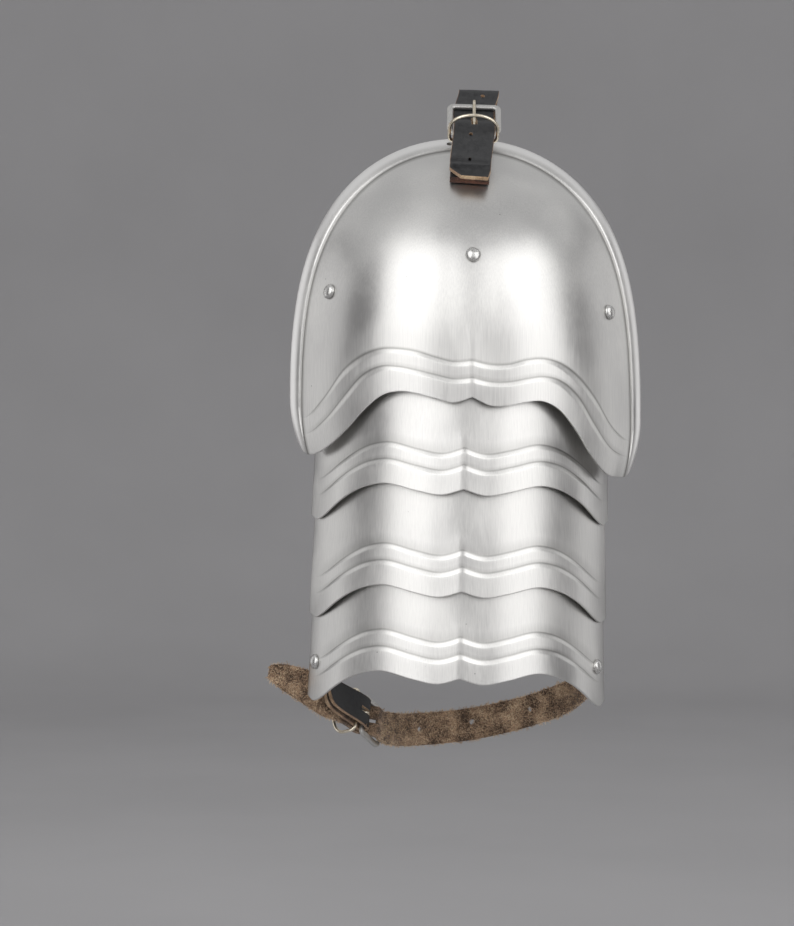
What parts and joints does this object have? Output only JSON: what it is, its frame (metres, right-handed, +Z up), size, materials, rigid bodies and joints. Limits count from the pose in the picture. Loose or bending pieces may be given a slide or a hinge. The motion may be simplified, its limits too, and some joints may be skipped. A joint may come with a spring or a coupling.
{
  "type": "pauldron",
  "caption": "Left shoulder armour: a domed steel plate over articulated lames, hung from a buckled strap loop, with a buckled strap round the arm.",
  "frame": {"origin": "middle of the top strap's loop, on the line that the pauldron hangs from", "axes": "+Z up; +X from the wearer's front to the back, along the loop's own axis; +Y from the outer face of the plates in towards the neck"},
  "size_m": [0.2183, 0.1295, 0.3903],
  "materials": {
    "plate_steel": "satin, faintly brushed up and down, with fine scratches",
    "rivet_steel": "hammered and polished heads",
    "nickel": "cast and drawn, nickel plated, slightly warm",
    "black_leather": "black on the grain side, raw grey-brown on the flesh side, raw red-brown edges"
  },
  "bodies": {
    "root": {"arm_buckle_chape": "black_leather", "arm_buckle_frame": "nickel", "arm_buckle_tongue": "nickel", "arm_keeper_ring": "nickel", "arm_rivet_back": "rivet_steel", "arm_rivet_front": "rivet_steel", "arm_strap": "black_leather", "back_leather": "black_leather", "centre_leather": "black_leather", "front_leather": "black_leather", "lower_lame": "plate_steel", "lower_lame_rivet_back": "rivet_steel", "lower_lame_rivet_centre": "rivet_steel", "lower_lame_rivet_front": "rivet_steel", "middle_lame": "plate_steel", "middle_lame_rivet_back": "rivet_steel", "middle_lame_rivet_centre": "rivet_steel", "middle_lame_rivet_front": "rivet_steel", "shoulder_plate": "plate_steel", "shoulder_rivet_back": "rivet_steel", "shoulder_rivet_centre": "rivet_steel", "shoulder_rivet_front": "rivet_steel", "top_buckle_chape": "black_leather", "top_buckle_frame": "nickel", "top_buckle_tongue": "nickel", "top_keeper_ring": "nickel", "top_strap": "black_leather", "top_strap_rivet": "rivet_steel", "upper_lame": "plate_steel", "upper_lame_rivet_back": "rivet_steel", "upper_lame_rivet_centre": "rivet_steel", "upper_lame_rivet_front": "rivet_steel"}
  },
  "joints": []
}
